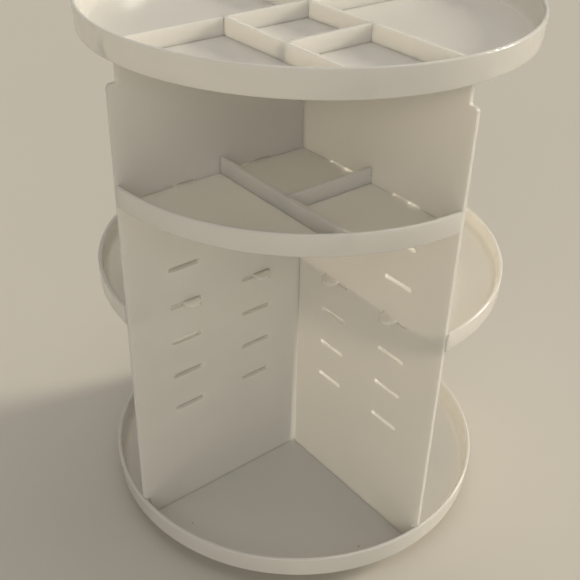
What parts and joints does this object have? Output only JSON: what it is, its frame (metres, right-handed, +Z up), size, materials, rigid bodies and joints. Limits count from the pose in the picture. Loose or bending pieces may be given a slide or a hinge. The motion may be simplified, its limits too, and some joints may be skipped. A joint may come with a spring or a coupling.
{
  "type": "rotating makeup organizer",
  "caption": "Round turning cosmetics stand: two trays joined by crossed slotted panels, with hang-in quarter shelves, divided compartments and a ball-bearing foot.",
  "frame": {"origin": "centre of the foot on the table", "axes": "+Z is up along the turning axis; the panels run along X and Y; the pictured front quadrant has negative X and negative Y"},
  "size_m": [0.23, 0.23, 0.3045],
  "materials": {
    "tray_plastic": "glossy white moulded plastic",
    "panel_plastic": "satin white moulded plastic",
    "shelf_plastic": "glossy white moulded plastic",
    "divider_plastic": "glossy white moulded plastic",
    "foot_plastic": "matte white plastic",
    "pad_rubber": "soft grey rubber",
    "steel": "bright steel"
  },
  "bodies": {
    "foot": {"base_disc": "foot_plastic", "foot_pads": "pad_rubber"},
    "bearing": {"ball_cage": "foot_plastic", "bearing_balls": "steel"},
    "carousel": {"bottom_tray": "tray_plastic", "pivot_washer": "steel", "pivot_screw": "steel", "partition_panel_x": "panel_plastic", "partition_panel_y": "panel_plastic"},
    "front_tier": {"front_shelf": "shelf_plastic", "shelf_divider_long": "divider_plastic", "shelf_divider_short": "divider_plastic"},
    "left_tier": {"left_shelf": "shelf_plastic"},
    "right_tier": {"right_shelf": "shelf_plastic"},
    "back_tier": {"back_shelf": "shelf_plastic"},
    "upper_tray": {"top_tray": "tray_plastic", "tray_cross_wall_x": "divider_plastic", "tray_cross_wall_y": "divider_plastic", "tray_divider_long": "divider_plastic", "tray_divider_short": "divider_plastic"}
  },
  "joints": [
    {"name": "carousel_spin", "type": "hinge", "parent": "foot", "child": "carousel", "pos_m": [0, 0, 0.008], "axis": [0, 0, 1], "continuous": true},
    {"name": "bearing_roll", "type": "hinge", "parent": "foot", "child": "bearing", "pos_m": [0, 0, 0.006], "axis": [0, 0, 1], "continuous": true},
    {"name": "front_shelf_pull", "type": "slide", "parent": "carousel", "child": "front_tier", "axis": [-0.7071, -0.7071, 0], "range_m": [0, 0.08]},
    {"name": "left_shelf_pull", "type": "slide", "parent": "carousel", "child": "left_tier", "axis": [-0.7071, 0.7071, 0], "range_m": [0, 0.08]},
    {"name": "right_shelf_pull", "type": "slide", "parent": "carousel", "child": "right_tier", "axis": [0.7071, -0.7071, 0], "range_m": [0, 0.08]},
    {"name": "back_shelf_pull", "type": "slide", "parent": "carousel", "child": "back_tier", "axis": [0.7071, 0.7071, 0], "range_m": [0, 0.08]},
    {"name": "upper_tray_lift", "type": "slide", "parent": "carousel", "child": "upper_tray", "axis": [0, 0, 1], "range_m": [0, 0.06]}
  ],
  "couplings": [
    {"joint": "bearing_roll", "follows": "carousel_spin", "ratio": 0.5}
  ]
}
